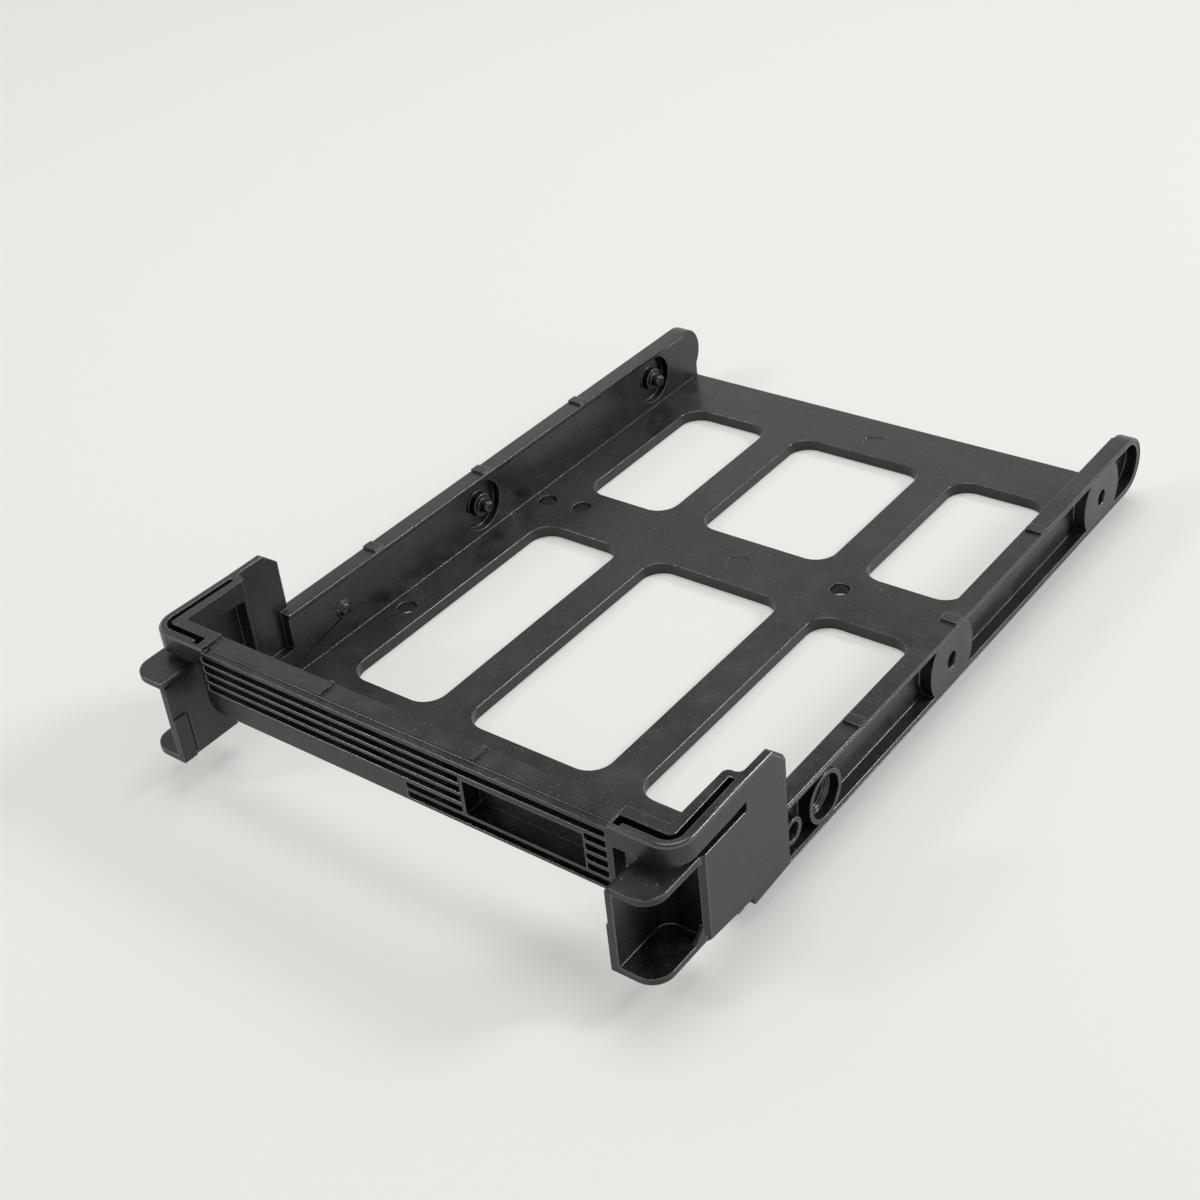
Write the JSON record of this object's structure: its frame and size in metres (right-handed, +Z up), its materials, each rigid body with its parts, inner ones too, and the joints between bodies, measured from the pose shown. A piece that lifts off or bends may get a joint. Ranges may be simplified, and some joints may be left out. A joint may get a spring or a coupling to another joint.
{
  "type": "hard drive caddy",
  "caption": "Open moulded tray that holds a disk drive between two channel rails, with a grooved front bar and sprung finger grips at both corners.",
  "frame": {"origin": "middle of the tray's footprint, on the surface that its floor plate stands on", "axes": "+X to the right, +Y from the finger grips to the open back, +Z up"},
  "size_m": [0.1102, 0.1652, 0.0282],
  "materials": {
    "tray_plastic": "satin black moulded plastic with a fine spark-eroded grain"
  },
  "bodies": {
    "root": {"caddy_tray": "tray_plastic"}
  },
  "joints": []
}
